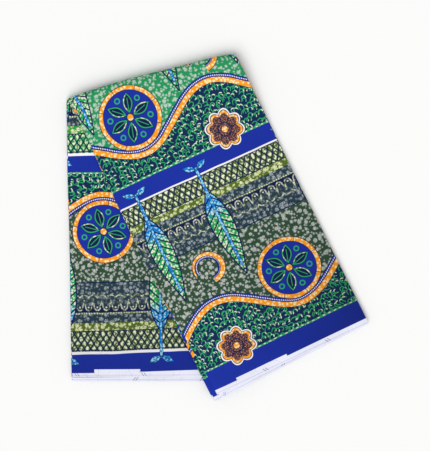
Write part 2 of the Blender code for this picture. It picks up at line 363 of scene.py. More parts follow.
def leaf_path(cloth_h, turned_h):
    """A leaf's path: its flat columns, then a roll at the right edge and a short tuck."""
    radius = 0.5 * (turned_h - cloth_h)
    near_edge = np.array([0.0004, 0.0012, 0.0026, 0.0050])
    last = HALF_WIDTH - BEFORE_ROLL
    inner = np.linspace(-HALF_WIDTH + near_edge[-1], last, round(STRIP_WIDTH / LEAF_STEP))
    flat = np.concatenate([[-HALF_WIDTH], -HALF_WIDTH + near_edge[:-1], inner])
    turn = np.linspace(-0.5 * math.pi, 0.5 * math.pi, ROLL_STEPS + 1)
    centre = HALF_WIDTH - abs(radius)
    rolled = centre + abs(radius) * np.cos(turn)
    rolled_h = cloth_h + radius + radius * np.sin(turn)
    tucked = centre - np.array([0.0012, TUCK])
    e = np.concatenate([flat, [HALF_WIDTH - 0.5 * BEFORE_ROLL], rolled, tucked])
    h = np.concatenate([np.full(len(flat) + 1, cloth_h), rolled_h, np.full(2, turned_h)])
    return e, h


def path_length(e, h):
    """How far along its path each point is."""
    return np.concatenate([[0.0], np.cumsum(np.hypot(np.diff(e), np.diff(h)))])


def leaf_grid(path_e, path_h, edges, ends, towards_pile):
    """The middle points of a leaf, with its creases; towards_pile is the sign of h to the pile."""
    rows = stations(0.004)[:, None]
    e, t = spread_out(path_e[None, :], rows, *edges(rows), ends)
    flat_part = np.clip(1.0 - np.abs(path_h - path_h[np.argmin(np.abs(path_e))]) / LEAF, 0.0, 1.0)
    sink = crease_depth(e, t, FINE_CREASES) + low_waves(e, t)
    on_turn = 1.0 - smooth((np.abs(t) - PLAIN_TURN) / PLAIN_FADE)
    sink = np.clip(sink * (1.0 - on_turn), MOST_RAISED, MOST_SUNK)
    h = path_h[None, :] + towards_pile * sink * flat_part[None, :]
    return e, t, h


def outer_edges(rows):
    """The outer leaf's long edges: drawn back in nicks, at its turned corner and in the roll."""
    left = -TURNED_LEFT * smooth(1.0 - (RIGHT_LEG - rows) / TURNED_LENGTH)
    for middle, length, depth in NICKS:
        left = left - depth * bump(2.0 * (rows - middle) / length)
    right = -TOP_CORNER_CUT * bump(0.5 * rows / HALF_TURN)
    return left, right


path_e, path_h = leaf_path(STACK - 0.5 * CLOTH, LAST_HIDDEN)
path_e = -path_e[::-1]
path_h = path_h[::-1]
along = (LAYERS - 1) * STRIP_WIDTH - TUCK + path_length(path_e, path_h)
grid = leaf_grid(path_e, path_h, outer_edges, (0.0, 0.0, -TURNED_END, 0.0), -1.0)
outer_leaf = sweep_cloth("outer_leaf_cloth", *grid, along)

# %% [markdown]
# The leaf inside the cross fold is the first layer, and it shows as the whole left leg. It is made
# in the same way, mirrored: its left edge is the cloth's other cut end, and its right edge rolls
# into the layer under it.

# %% The inner leaf
def inner_edges(rows):
    """The inner leaf keeps to the strip's edges."""
    return 0.0 * rows, 0.0 * rows


path_e, path_h = leaf_path(0.5 * CLOTH, FIRST_HIDDEN)
along = path_length(path_e, path_h)
grid = leaf_grid(path_e, path_h, inner_edges, INNER_ENDS, 1.0)
inner_leaf = sweep_cloth("inner_leaf_cloth", *grid, along)

# %% [markdown]
# Between the two leaves lie fifteen layers that show only at their edges: as a stack of rounded
# folds along both sides, and of selvedges at both ends. One sheet runs through all of them, back and
# forth, with a small U at each edge. Its columns are close together near the edges and in the top
# three layers, and far apart where nobody sees them. The middle of the pile is pressed thinner, so
# that no layer pokes through a leaf. Each fold has its own reach, in millimetres, at both sides and
# both ends.

# %% The hidden zigzag
HIDDEN_FOLDS = (
    (-0.4, -0.6, 8, 15, -3, -6),
    (-2.4, 0.4, 5, 8, -1, -3),
    (0.6, -2, 7, 12, -4, -5),
    (-1.8, -0.8, 2, 6, 0.5, -3.5),
    (0.2, -2.6, 6, 11, -2, -2),
    (-3, -0.4, 3.5, 5, 1.5, -4.5),
    (-0.6, -1.6, 1, 7, 2, -0.5),
)
PILE_END_BACK = 0.0050
WANDER = 0.0008
WANDER_TURN = 17.0
WANDER_SHIFT = 2.1
U_STEPS = 4
LAYER_SHIFT = 0.0006
LAYER_SHIFT_TURN = 3.7
IN_FROM_EDGE = np.array([0.0012, 0.003, 0.007, 0.014, 0.028])
MIDDLE_COLUMNS = 7
TOP_MIDDLE_COLUMNS = 21
TOP_LAYERS = 3
PRESSED_THINNER = 0.22
SIDE_KEPT = 0.007
SIDE_FADE = 0.03
END_KEPT = 0.02
END_FADE = 0.05


def hidden_path():
    """e, h and layer number of every column of the zigzag, from the inner leaf outwards."""
    radius = 0.5 * LAYER_PITCH
    inner_edge = HALF_WIDTH - IN_FROM_EDGE[-1]
    turn = np.linspace(-0.5 * math.pi, 0.5 * math.pi, U_STEPS + 1)
    columns = []
    for layer in range(HIDDEN_LAYERS):
        height = FIRST_HIDDEN + layer * LAYER_PITCH
        towards = -1.0 if layer % 2 == 0 else 1.0
        count = MIDDLE_COLUMNS if layer < HIDDEN_LAYERS - TOP_LAYERS else TOP_MIDDLE_COLUMNS
        middle = np.linspace(-inner_edge, inner_edge, count + 2)[1:-1]
        flat = np.concatenate([-HALF_WIDTH + IN_FROM_EDGE, middle, HALF_WIDTH - IN_FROM_EDGE[::-1]])
        e = flat if towards > 0.0 else flat[::-1]
        columns.append(np.stack(np.broadcast_arrays(e, height, float(layer))))
        if layer < HIDDEN_LAYERS - 1:
            u_e = towards * (HALF_WIDTH - radius + radius * np.cos(turn))
            u_h = height + radius + radius * np.sin(turn)
            columns.append(np.stack([u_e, u_h, layer + np.linspace(0.0, 1.0, U_STEPS + 1)]))
    return np.concatenate(columns, axis=1)


def hidden_grid():
    """The middle points of the zigzag, with each fold's own edges and ends."""
    path_e, path_h, layer = hidden_path()
    folds = np.array(HIDDEN_FOLDS) / 1000.0
    rows = stations(0.0100)[:, None]
    edges = []
    for side, way in ((0, 1.0), (1, -1.0)):
        fold = np.clip(np.floor((layer - side) / 2.0 + 0.001), 0, len(folds) - 1).astype(int)
        wander = WANDER * np.sin(WANDER_TURN * rows + WANDER_SHIFT * fold)
        edges.append(folds[fold, side] + way * wander)
    left, right = edges
    under_outer = (layer > HIDDEN_LAYERS - 1.5) & (path_e < 0.0)
    left = np.where(under_outer, outer_edges(rows)[0] - TUCK, left)
    right = right - PILE_END_BACK * smooth(1.0 - (RIGHT_LEG - rows) / TURNED_LENGTH)
    right = np.where((layer < 0.5) & (path_e > 0.0), -TUCK, right)
    middles = np.arange(len(folds)) * 2.0 + 0.5
    ends = np.array([np.interp(layer, middles, reach) for reach in folds[:, 2:].T])
    shift = LAYER_SHIFT * np.sin(LAYER_SHIFT_TURN * layer)
    ends = ends + np.array([shift, shift, -shift, -shift])
    e, t = spread_out(path_e[None, :], rows, left, right, ends)
    in_from_side = smooth((HALF_WIDTH - SIDE_KEPT - np.abs(path_e)) / SIDE_FADE)
    in_from_end = smooth((RIGHT_LEG - END_KEPT - rows) / END_FADE)
    in_from_end = in_from_end * smooth((rows + LEFT_LEG - END_KEPT) / END_FADE)
    half_pile = 0.5 * (FIRST_HIDDEN + LAST_HIDDEN)
    h = path_h - PRESSED_THINNER * (path_h - half_pile) * in_from_side * in_from_end
    along = STRIP_WIDTH + path_length(path_e, path_h)
    return e, t, h, along


hidden_folds = sweep_cloth("hidden_folds_cloth", *hidden_grid())

# %% [markdown]
# ## The print
# Wax print gets its pattern before it is folded: wax keeps the dye out, and where it cracks, fine
# lines creep in. The pattern could be painted as a picture, but would then be as coarse as its
# pixels. Here it is worked out from a place on the flat cloth, in millimetres: u along the six yards
# and v from selvedge to selvedge. A small class turns sums into Math nodes, so that the pattern can
# be written down as formulas.

# %% Formulas as nodes
FULL_TURN = 2.0 * math.pi
print_tree = bpy.data.node_groups.new("african_print", "ShaderNodeTree")
print_tree.interface.new_socket("Dye", in_out="OUTPUT", socket_type="NodeSocketColor")


def add_node(kind, **settings):
    """A new node of the print with these settings."""
    node = print_tree.nodes.new("ShaderNode" + kind)
    for setting, value in settings.items():
        setattr(node, setting, value)
    return node


def feed(socket, value):
    """Links an amount, a place or a colour to a socket, or sets a plain value on it."""
    if isinstance(value, Amount):
        value = value.socket
    if isinstance(value, bpy.types.NodeSocket):
        print_tree.links.new(value, socket)
    else:
        socket.default_value = value


def calculate(operation, *values, clamped=False):
    """A Math node of this operation."""
    node = add_node("Math", operation=operation, use_clamp=clamped)
    for socket, value in zip(node.inputs, values):
        feed(socket, value)
    return Amount(node.outputs[0])


class Amount:
    """A number that varies over the cloth, as the output of a node."""

    def __init__(self, socket):
        self.socket = socket

    def __add__(self, other):
        return calculate("ADD", self, other)

    def __sub__(self, other):
        return calculate("SUBTRACT", self, other)

    def __rsub__(self, other):
        return calculate("SUBTRACT", other, self)

    def __mul__(self, other):
        return calculate("MULTIPLY", self, other)

    def __truediv__(self, other):
        return calculate("DIVIDE", self, other)

    def __abs__(self):
        return calculate("ABSOLUTE", self)

    __radd__ = __add__
    __rmul__ = __mul__


def tell(what):
    """Says how far the print has grown."""
    print(what, "bring the print to", len(print_tree.nodes), "nodes")


tell("the helpers")

# %% [markdown]
# A shape of the print is a mask: 1 inside it, 0 outside, with a soft edge between. It comes from a
# distance to the shape's edge, which is negative inside. Masks are joined by multiplying them or by
# taking the largest, and one colour is laid over another through a mask.

# %% Masks and colours
def joined(operation, masks):
    """One mask from several, joined one after another."""
    mask = masks[0]
    for other in masks[1:]:
        mask = calculate(operation, mask, other)
    return mask


def both(*masks):
    """1 where all of these masks are 1."""
    return joined("MULTIPLY", masks)


def either(*masks):
    """1 where any of these masks is 1."""
    return joined("MAXIMUM", masks)


def sine(turns):
    """The sine of a number of whole turns."""
    return calculate("SINE", turns * FULL_TURN)


def cosine(turns):
    """The cosine of a number of whole turns."""
    return calculate("COSINE", turns * FULL_TURN)


def repeat(value, period, middle=0.0):
    """The distance from the nearest repeat of a middle, to either side."""
    start = middle - 0.5 * period
    return calculate("FLOORED_MODULO", value - start, period) - 0.5 * period


def rise(value, low, high):
    """0 at low and 1 at high, even between them and level beyond them."""
    return calculate("MULTIPLY_ADD", value, 1.0 / (high - low), -low / (high - low), clamped=True)


def inside(*distances, soft=0.7):
    """1 where all these distances to edges, in millimetres, are negative."""
    return both(*[rise(distance, 0.5 * soft, -0.5 * soft) for distance in distances])


def stripe(value, low, high):
    """1 between two values."""
    return inside(abs(value - 0.5 * (low + high)) - 0.5 * (high - low))


def polar_radius(x, y):
    """The distance from the middle of a place."""
    return calculate("SQRT", x * x + y * y)


def ink(red, green, blue):
    """A screen's colour, from 0 to 255, as the light that Blender works with."""
    light = []
    for part in (red / 255.0, green / 255.0, blue / 255.0):
        light.append(part / 12.92 if part <= 0.04045 else ((part + 0.055) / 1.055) ** 2.4)
    return (*light, 1.0)


def over(below, above, mask):
    """One colour printed over another where the mask is 1."""
    node = add_node("Mix", data_type="RGBA")
    feed(node.inputs[0], mask)
    feed(node.inputs[6], below)
    feed(node.inputs[7], above)
    return node.outputs[2]


print("a middle grey is", round(ink(128, 128, 128)[0], 3), "as light")

# %% [markdown]
# The cloth's own places come from each sheet's UV map. Wax was put on by rollers that slipped a
# little, so every line of a real print wavers: a soft noise shifts each place by up to a millimetre.
# Near the first selvedge the print also lies a few millimetres askew. Two textures give everything
# that is irregular: noise, and scattered cells, of which each knows how far its middle is.

# %% Places on the cloth, noise and cells
WAVER = 1.0
WAVER_SIZE = 45.0
SLANT = 4.2
SLANT_END = 364.0
SLANT_FADE = 260.0
STRIP_MM = 1000.0 * STRIP_WIDTH


def vector(operation, first, second):
    """A Vector Math node of this operation."""
    node = add_node("VectorMath", operation=operation)
    feed(node.inputs[0], first)
    feed(node.inputs[1], second)
    return node.outputs[0]


def split(place):
    """The two numbers of a place."""
    node = add_node("SeparateXYZ")
    feed(node.inputs[0], place)
    return Amount(node.outputs[0]), Amount(node.outputs[1])


def place_of(first, second):
    """A place from its two numbers."""
    node = add_node("CombineXYZ")
    feed(node.inputs[0], first)
    feed(node.inputs[1], second)
    return node.outputs[0]


def shifted(flat, seed):
    """The same places moved far away, so that a texture shows another part of itself."""
    return vector("ADD", flat, (917.0 * seed, 411.0 * seed, 0.0))


def noise(flat, size, seed, detail=1.0):
    """A soft noise of about this size in millimetres, from 0 to 1."""
    node = add_node("TexNoise", noise_dimensions="2D")
    feed(node.inputs["Vector"], shifted(flat, seed))
    feed(node.inputs["Scale"], 1.0 / size)
    feed(node.inputs["Detail"], detail)
    return Amount(node.outputs[0])


def cells(flat, size, seed, scatter):
    """Scattered cells: distance to the middle, a random number, and place in the cell."""
    node = add_node("TexVoronoi", voronoi_dimensions="2D")
    places = shifted(flat, seed)
    feed(node.inputs["Vector"], places)
    feed(node.inputs["Scale"], 1.0 / size)
    feed(node.inputs["Randomness"], scatter)
    x, y = split(vector("SUBTRACT", places, node.outputs["Position"]))
    chance = split(node.outputs["Color"])[0]
    return Amount(node.outputs["Distance"]) * size, chance, x, y


uv_map = add_node("UVMap", uv_map="Cloth")
smooth_flat = vector("MULTIPLY", uv_map.outputs[0], (1000.0, 1000.0, 1000.0))
plain_u, plain_v = split(smooth_flat)
wavers = [(noise(smooth_flat, WAVER_SIZE, seed) - 0.5) * (2.0 * WAVER) for seed in (1.0, 2.0)]
strip_swing = cosine(plain_u / (2.0 * STRIP_MM))
near_part = either(calculate("SMOOTH_MIN", 1.0, (SLANT_END - plain_v) / SLANT_FADE, 0.5), 0.0)
slanted = place_of(0.0, strip_swing * near_part * SLANT)
FLAT = vector("ADD", vector("ADD", smooth_flat, place_of(*wavers)), slanted)
u, v = split(FLAT)
tell("the places on the cloth")

# %% [markdown]
# The same design comes three times across the cloth, and the border of a fourth closes it. A design
# starts with a royal blue border; then come a white line, a lattice, dotted and marked stripes, a
# row of lobes, a bubbled ground with large motifs, and a veined ground up to the next border. The
# middle design is dyed emerald, the outer two olive and slate. Two distances say where a point is in
# its design: w from its start, and z up to the next one. The last two starts swing a little from one
# side of the strip to the other.

# %% The three designs across the cloth
STARTS = (14.5, 389.5, 750.1, 1130.8)
START_SWINGS = (0.0, 0.0, -2.8, 0.6)
LAST_DESIGN_END = 1511.0
FIRST_IS_WIDER = 0.038
REPEAT = 302.0
ROUNDEL_U = (65.0, 60.0, 205.0, 65.0)


def climbs(values, passed):
    """The first value, then the next one from each start that is passed."""
    total = values[0]
    for is_past, before, after in zip(passed, values, values[1:]):
        total = is_past * (after - before) + total
    return total


def design_places(reach):
    """u, w, z and the starts passed, if each design reaches this far over the next."""
    passed = []
    for start, start_swing in zip(STARTS[1:], START_SWINGS[1:]):
        passed.append(calculate("GREATER_THAN", v - strip_swing * start_swing, start + reach))
    from_start = v - climbs(STARTS, passed) - strip_swing * climbs(START_SWINGS, passed)
    next_swing = strip_swing * climbs((*START_SWINGS[1:], 0.0), passed)
    to_next = climbs((*STARTS[1:], LAST_DESIGN_END), passed) + next_swing - v
    scaled = from_start - from_start * (1.0 - passed[0]) * FIRST_IS_WIDER
    return u - climbs(ROUNDEL_U, passed), scaled, to_next, passed


motif_u, w, z, (second, third, fourth) = design_places(0.0)
in_cloth = 1.0 - fourth
w = w * in_cloth
emerald = both(second, 1.0 - third)
tell("the designs' starts")

# %% [markdown]
# The bubbled ground is scattered with pale, mottled spots where wax dripped, large ones about a
# centimetre apart and flecks between them. Each cell of a Voronoi texture gives one spot, and noise
# breaks up its rim and its middle.

# %% The bubbled ground
SPOT_GREY = ink(200, 206, 200)
SPOT_MINT = ink(202, 216, 204)
DARK_GREEN = ink(48, 76, 55)
EMERALD = ink(34, 146, 90)


def spots(flat, size, radius, seed, rough):
    """Scattered round spots with broken rims."""
    distance, chance = cells(flat, size, seed, scatter=0.9)[:2]
    wobble = (noise(flat, 2.6, seed + 3.0) - 0.5) * (2.0 * rough)
    return inside(distance + wobble - (chance * 0.6 + 0.6) * radius, soft=1.4)


broken = rise(noise(FLAT, 2.4, 5.0, detail=2.0), 0.38, 0.58)
large_spots = both(spots(FLAT, 10.8, 3.2, 6.0, rough=1.2), either(broken, 0.6))
flecks = spots(FLAT, 7.5, 1.7, 7.0, rough=1.0)
spot_mask = either(large_spots, flecks * 0.65)
ground = over(DARK_GREEN, EMERALD, emerald)
bubble_ground = over(ground, over(SPOT_GREY, SPOT_MINT, emerald), spot_mask)
tell("the bubbles")

# %% [markdown]
# The veined ground is navy, covered with green curls that have cream tips. On real cloth no two
# curls agree, so nothing is traced: each cell holds one hook, half a ring with a short stem, turned
# nearly as its neighbours are. Two sets of hooks of different sizes fill the ground.

# %% The veined ground
NAVY = ink(12, 26, 74)
LEAF_GREEN = ink(52, 166, 102)
CREAM = ink(236, 240, 212)
VEIN_NAVY = ink(14, 42, 82)
CURLS = ((12.5, 0.86, 11.0), (11.5, 0.80, 12.0))
CURL_RADIUS = 0.31
STEM_MIDDLE = 0.20
STEM_REACH = 0.22
TURN_BY_PLACE = 0.9
TURN_BY_CHANCE = 0.22


def curled_strokes(flat, size, thickness, seed):
    """One curled stroke in each cell: its mask, and its pale tip."""
    chance, x, y = cells(flat, size, seed, scatter=0.7)[1:]
    turned = noise(flat, 110.0, 31.0) * TURN_BY_PLACE + chance * TURN_BY_CHANCE
    forward = x * cosine(turned) + y * sine(turned)
    aside = y * cosine(turned) - x * sine(turned)
    ring_radius = CURL_RADIUS * size
    ring = abs(polar_radius(forward, aside) - ring_radius) - thickness
    curl = inside(ring, (STEM_MIDDLE - STEM_REACH) * size - aside)
    beside_stem = abs(forward - ring_radius) - thickness * 0.9
    stem = inside(beside_stem, abs(aside + STEM_MIDDLE * size) - STEM_REACH * size)
    tip = both(curl, inside(forward + (chance * 0.5 - 0.06) * size))
    return either(curl, stem), tip


strokes, tips = 0.0, 0.0
for size, thickness, seed in CURLS:
    more, more_tips = curled_strokes(FLAT, size, thickness, seed)
    strokes = either(more, strokes)
    tips = either(more_tips, tips)
vein_ground = over(over(VEIN_NAVY, LEAF_GREEN, strokes), CREAM, tips * 0.9)
tell("the curls")

# %% [markdown]
# The striped part starts with a lattice of crossed lines with pale drops in its diamonds, a stripe
# of yellow blobs on olive, and a slate stripe with faint marks. The lattice repeats along the cloth,
# so it is a formula of the distance from the nearest repeat.

# %% The lattice, the blobs and the marks
OLIVE = ink(84, 108, 40)
FRESH_GREEN = ink(46, 150, 68)
DROP_CREAM = ink(238, 242, 212)
DROP_YELLOW = ink(228, 236, 150)
WHITE = ink(248, 246, 247)
SLATE = ink(38, 60, 72)
MARK_GREY = ink(178, 188, 192)
LATTICE_WIDTH = 12.0
LATTICE_HEIGHT = 19.0
LATTICE_LINE = 1.15
DROP_RADIUS = 4.3

olive_or_green = over(OLIVE, FRESH_GREEN, emerald)
climb = v * (LATTICE_WIDTH / LATTICE_HEIGHT)
rising = abs(repeat(u + climb, LATTICE_WIDTH))
falling = abs(repeat(u - climb, LATTICE_WIDTH))
lattice_lines = either(inside(rising - LATTICE_LINE), inside(falling - LATTICE_LINE))
in_diamond = polar_radius(rising - 0.5 * LATTICE_WIDTH, falling - 0.5 * LATTICE_WIDTH)
patchy = rise(noise(FLAT, 6.0, 21.0), 0.38, 0.58)
waxed = rise(noise(FLAT, 5.0, 24.0), 0.4167, 0.5833)
drops = both(inside(in_diamond - DROP_RADIUS, soft=1.6), waxed)
lattice = over(over(olive_or_green, DROP_CREAM, drops), NAVY, lattice_lines)

blobs = both(spots(FLAT, 9.5, 3.4, 22.0, rough=1.5), either(broken, 0.5))
blobs = either(blobs, flecks * 0.5)
dotted = over(olive_or_green, DROP_YELLOW, blobs)
dotted = over(dotted, WHITE, both(blobs, patchy, broken) * 0.8)

marks = either(both(spots(FLAT, 10.0, 3.2, 23.0, rough=1.8), either(broken, 0.35)), flecks * 0.35)
slate = over(SLATE, MARK_GREY, marks * 0.9)
tell("the lattice, the blobs and the marks")

# %% [markdown]
# Beyond them stands a row of lobes on navy, each with a dot, under a scalloped line. A lobe is a
# circle round its dot that widens away from it. Its line and the scallops are drawn in wax, which
# broke in places.

# %% The row of lobes
LOBE_PITCH = 16.9
LOBE_W = 116.0
LOBE_RADIUS = 5.4
LOBE_WIDENS = 0.26
LOBE_LINE = 1.2
LOBE_LINE_END = 130.0
EYE_RADIUS = 1.7
SCALLOP_W = 128.0
SCALLOP_RADIUS = 10.0
SCALLOP_LINE = 1.1
SCALLOP_LINE_END = 132.0

lobe_u = repeat(u, LOBE_PITCH)
lobe_widens = either(w * LOBE_WIDENS - LOBE_WIDENS * LOBE_W, 0.0)
lobe_foot = calculate("MINIMUM", w - LOBE_W, 0.0)
lobe = polar_radius(lobe_u, lobe_foot) - (lobe_widens + LOBE_RADIUS)
lobe_line = both(inside(abs(lobe) - LOBE_LINE), either(broken, 0.5))
in_lobe = over(SLATE, MARK_GREY, marks * 0.5)
wax_line = over(OLIVE, CREAM, patchy)
loops = over(NAVY, in_lobe, inside(lobe))
loops = over(loops, wax_line, both(lobe_line, inside(w - LOBE_LINE_END)))
eye = polar_radius(lobe_u, w - LOBE_W)
loops = over(loops, NAVY, inside(eye - 2.0 * EYE_RADIUS))
loops = over(loops, CREAM, both(inside(eye - EYE_RADIUS), either(broken, 0.6)))
scallop = polar_radius(repeat(u, LOBE_PITCH, 0.5 * LOBE_PITCH), w - SCALLOP_W) - SCALLOP_RADIUS
on_scallop = inside(abs(scallop) - SCALLOP_LINE, SCALLOP_LINE_END - w)
loops = over(loops, wax_line, both(on_scallop, either(broken, 0.4)))
fringe = over(OLIVE, DROP_CREAM, both(broken, inside(abs(repeat(u, 5.0)) - 1.6)))
tell("the lobes")

# %% [markdown]
# Now the bands are laid over one another from the border on, each from its place w in the design,
# with thin navy lines between them, as in the outlines of a wax print. The white line beside the
# border is thinner in the third design than in the first two.

# %% The bands in place
ROYAL_BLUE = ink(25, 47, 158)
BANDS = (
    (lattice, 35.6, 73.0),
    (dotted, 73.0, 88.0),
    (slate, 88.0, 104.0),
    (fringe, 104.0, 106.6),
    (loops, 106.6, 140.0),
    (slate, 140.0, 161.0),
)
LINES = (38.0, 73.0, 161.0)
LINE_HALF = 0.9
white_line_low = third * 3.4 + 31.0
white_line_high = third * 1.6 + 35.8

dye = over(bubble_ground, ROYAL_BLUE, inside(w - white_line_low))
for band, low, high in BANDS:
    dye = over(dye, band, stripe(w, low, high))
for line in LINES:
    dye = over(dye, NAVY, stripe(w, line - LINE_HALF, line + LINE_HALF))
dye = over(dye, WHITE, inside(white_line_low - w, w - white_line_high))
tell("the bands")

# %% [markdown]
# The large motifs are ordinary ones of such cloth, in a layout made for this piece: a meandering
# vine that parts the bubbled and the veined ground, roundels with a ring of leaves, round rosettes
# on the border, tall fern fronds and open hooks. They repeat every 302 mm along the cloth, at another
# place in each design, so the seventeen layers don't line up. First the vine: orange with cream
# drops, with a beaded blue cord on its bubbled side and the veined ground on the other.

# %% The vine and the veined ground
ORANGE = ink(252, 158, 26)
ORANGE_DROP = ink(252, 232, 176)
VINE_LOW = 42.0
VINE_HIGH = 112.0
VINE_HALF = 4.6
CORD_AWAY = 8.0
CORD_HALF = 3.0
BEAD_PITCH = 3.6
BEAD_RADIUS = 1.05


def outlined(below, above, distance, *masks, line=1.2):
    """A shape with a navy outline outside its edge, where these masks are 1."""
    below = over(below, NAVY, both(inside(distance - line), *masks))
    return over(below, above, both(inside(distance), *masks))


def beaded(along_strip, from_middle):
    """The colour of a blue cord with a row of white beads."""
    bead = polar_radius(repeat(along_strip, BEAD_PITCH), from_middle) - BEAD_RADIUS
    return over(ROYAL_BLUE, WHITE, inside(bead))


vine_turns = motif_u / REPEAT - 0.25
vine_slope = cosine(vine_turns)
half_swing = 0.5 * (VINE_HIGH - VINE_LOW)
steepest = half_swing * FULL_TURN / REPEAT
lean = calculate("SQRT", vine_slope * vine_slope * steepest**2 + 1.0)
vine_middle = sine(vine_turns) * half_swing + 0.5 * (VINE_LOW + VINE_HIGH)
from_vine = (z - vine_middle) / lean
from_cord = from_vine - CORD_AWAY
orange = over(ORANGE, ORANGE_DROP, spots(FLAT, 6.5, 2.2, 31.0, rough=1.2))

dye = over(dye, vein_ground, inside(from_vine, 0.0 - z))
dye = outlined(dye, beaded(u, from_cord), abs(from_cord) - CORD_HALF)
dye = outlined(dye, orange, abs(from_vine) - VINE_HALF)
tell("the vines")

# %% [markdown]
# A round motif is easiest to write in polar places: how far from its middle, and at which angle.
# Repeats of the angle give a ring of equal leaves or petals from the formula of a single one. In a
# roundel, six leaves point outwards, with a small green ring between each two.

# %% The roundels
ROUNDEL_Z = 112.0
ROUNDEL_RADIUS = 50.0
RING = 8.5
RING_TICKS = 8
LEAVES = 6
LEAVES_TURNED = 0.04
LEAF_FROM = 8.0
LEAF_TO = 45.0
LEAF_HALF = 9.0
SMALL_RING_AT = 38.0
SMALL_RING = 4.4
MIDDLE_DISC = 6.0


def polar(x, y):
    """Distance from the middle, and angle in whole turns."""
    return polar_radius(x, y), calculate("ARCTAN2", y, x) / FULL_TURN


def ring_of(count, radius, turns, turned):
    """The place in one of a ring of equal sectors: outwards, and sideways."""
    sector = repeat(turns, 1.0 / count, turned)
    return radius * cosine(sector), radius * sine(sector)


def leaf_distance(outwards, sideways, near, far, half_width):
    """How far outside a pointed leaf that lies from near to far."""
    return abs(sideways) - sine(rise(outwards, near, far) * 0.5) * half_width


radius, turns = polar(repeat(motif_u, REPEAT), z - ROUNDEL_Z)
dye = outlined(dye, orange, radius - (ROUNDEL_RADIUS + RING))
from_ring = abs(radius - ROUNDEL_RADIUS - 0.5 * RING) - 0.5 * RING
from_tick = abs(repeat(turns, 1.0 / RING_TICKS, 0.03)) * radius * FULL_TURN
dye = over(dye, NAVY, inside(from_tick - 0.6, from_ring))
dye = outlined(dye, ROYAL_BLUE, radius - ROUNDEL_RADIUS, line=1.0)

outwards, sideways = ring_of(LEAVES, radius, turns, LEAVES_TURNED)
leaf = leaf_distance(outwards, sideways, LEAF_FROM, LEAF_TO, LEAF_HALF)
on_leaf = inside(leaf, outwards - LEAF_TO)
green_line = over(LEAF_GREEN, CREAM, both(patchy, inside(abs(sideways - 5.0) - 2.4)))
dye = over(dye, NAVY, inside(leaf - 1.2, outwards - LEAF_TO - 0.5))
dye = over(dye, green_line, on_leaf)
leaf_vein = inside(abs(sideways) - 0.7, outwards - 0.8 * LEAF_TO)
dye = over(dye, over(NAVY, LEAF_GREEN, leaf_vein), both(inside(leaf + 2.2), on_leaf))

between_out, between_side = ring_of(LEAVES, radius, turns, LEAVES_TURNED + 0.5 / LEAVES)
small_ring = polar_radius(between_out - SMALL_RING_AT, between_side) - SMALL_RING
dye = over(dye, green_line, inside(abs(small_ring) - 1.2))
dye = over(dye, orange, inside(radius - MIDDLE_DISC))
dye = over(dye, NAVY, inside(abs(radius - MIDDLE_DISC - 0.4) - 0.7))
tell("the roundels")

# %% [markdown]
# The rosettes sit on the border: eight scalloped petals, brown and stippled with orange, inside an
# orange rim, a navy line and a white edge. A rosette reaches over its border into the next design,
# so its places are worked out again with that reach.

# %% The rosettes
ROSETTE_Z = 22.0
ROSETTE_REACH = 30.0
ROSETTE_RADIUS = 30.0
PETALS = 8
PETAL_RISE = 7.5
NAVY_FROM_EDGE = 2.6
ORANGE_FROM_EDGE = 4.2
BROWN_FROM_EDGE = 8.6
RAY_FOOT = 11.0
HEART_RING = 12.5
HEART = 5.5
BROWN = ink(56, 40, 62)
STIPPLE = ink(206, 142, 100)

rosette_u, _, rosette_z, _ = design_places(ROSETTE_REACH)
radius, turns = polar(repeat(rosette_u, REPEAT, 0.5 * REPEAT), rosette_z - ROSETTE_Z)
edge = radius - (abs(sine(turns * (0.5 * PETALS))) * PETAL_RISE + ROSETTE_RADIUS)
stipple = rise(noise(FLAT, 2.0, 41.0), 0.5357, 0.6786)
rosette = outlined(dye, WHITE, edge)
rosette = over(rosette, NAVY, inside(edge + NAVY_FROM_EDGE))
rosette = over(rosette, orange, inside(edge + ORANGE_FROM_EDGE))
petals = over(BROWN, STIPPLE, stipple)
rosette = over(rosette, petals, inside(edge + BROWN_FROM_EDGE - stipple * 2.0))
from_ray = abs(repeat(turns, 1.0 / PETALS)) * radius * FULL_TURN - 0.8
rosette = over(rosette, NAVY, inside(from_ray, RAY_FOOT - radius, edge + 5.5))
rosette = over(rosette, NAVY, inside(abs(radius - HEART_RING) - 0.9))
rosette = over(rosette, orange, inside(radius - HEART))
on_rosette = inside(edge - 1.2)
tell("the rosettes")

# %% [markdown]
# The fern fronds stand on the blue border and cross the striped part, as tall motifs do on such
# cloth. A frond is one long envelope; inside it, leaflets slant up from the rib, turquoise near the
# root and green above, with pale drops. Two small leaves spread at the foot of its stem.

# %% The fern fronds
FROND_U = (-75.0, 105.0)
FROND_ROOT = 70.0
FROND_TIP = 244.0
FROND_HALF = 21.0
LEAFLET_PITCH = 15.0
LEAFLET_HALF = 5.8
STEM_FOOT = 20.0
STEM_TIP = 226.0
STEM_HALF = 2.3
STEM_LINE = 1.1
FOOT_LEAF = 25.0
FOOT_LEAF_HALF = 5.0
FOOT_VEIN = 17.0
FOOT_SPREAD = math.radians(64.0)
TURQUOISE = ink(14, 122, 204)
PALE_BLUE = ink(158, 220, 242)
BRIGHT_GREEN = ink(34, 160, 82)

pale = spots(FLAT, 5.5, 2.0, 51.0, rough=1.0)
upper = over(BRIGHT_GREEN, CREAM, pale)
lower = over(TURQUOISE, PALE_BLUE, pale)
frond_colour = over(lower, upper, rise(w, 100.0, 125.0))
frond_share = calculate("POWER", rise(w, FROND_ROOT, FROND_TIP), 0.75)
swell = sine(frond_share * 0.5) * FROND_HALF


def between(low, high):
    """1 where w lies between two places of a frond, except past the last border."""
    return both(inside(low - w, w - high), in_cloth)


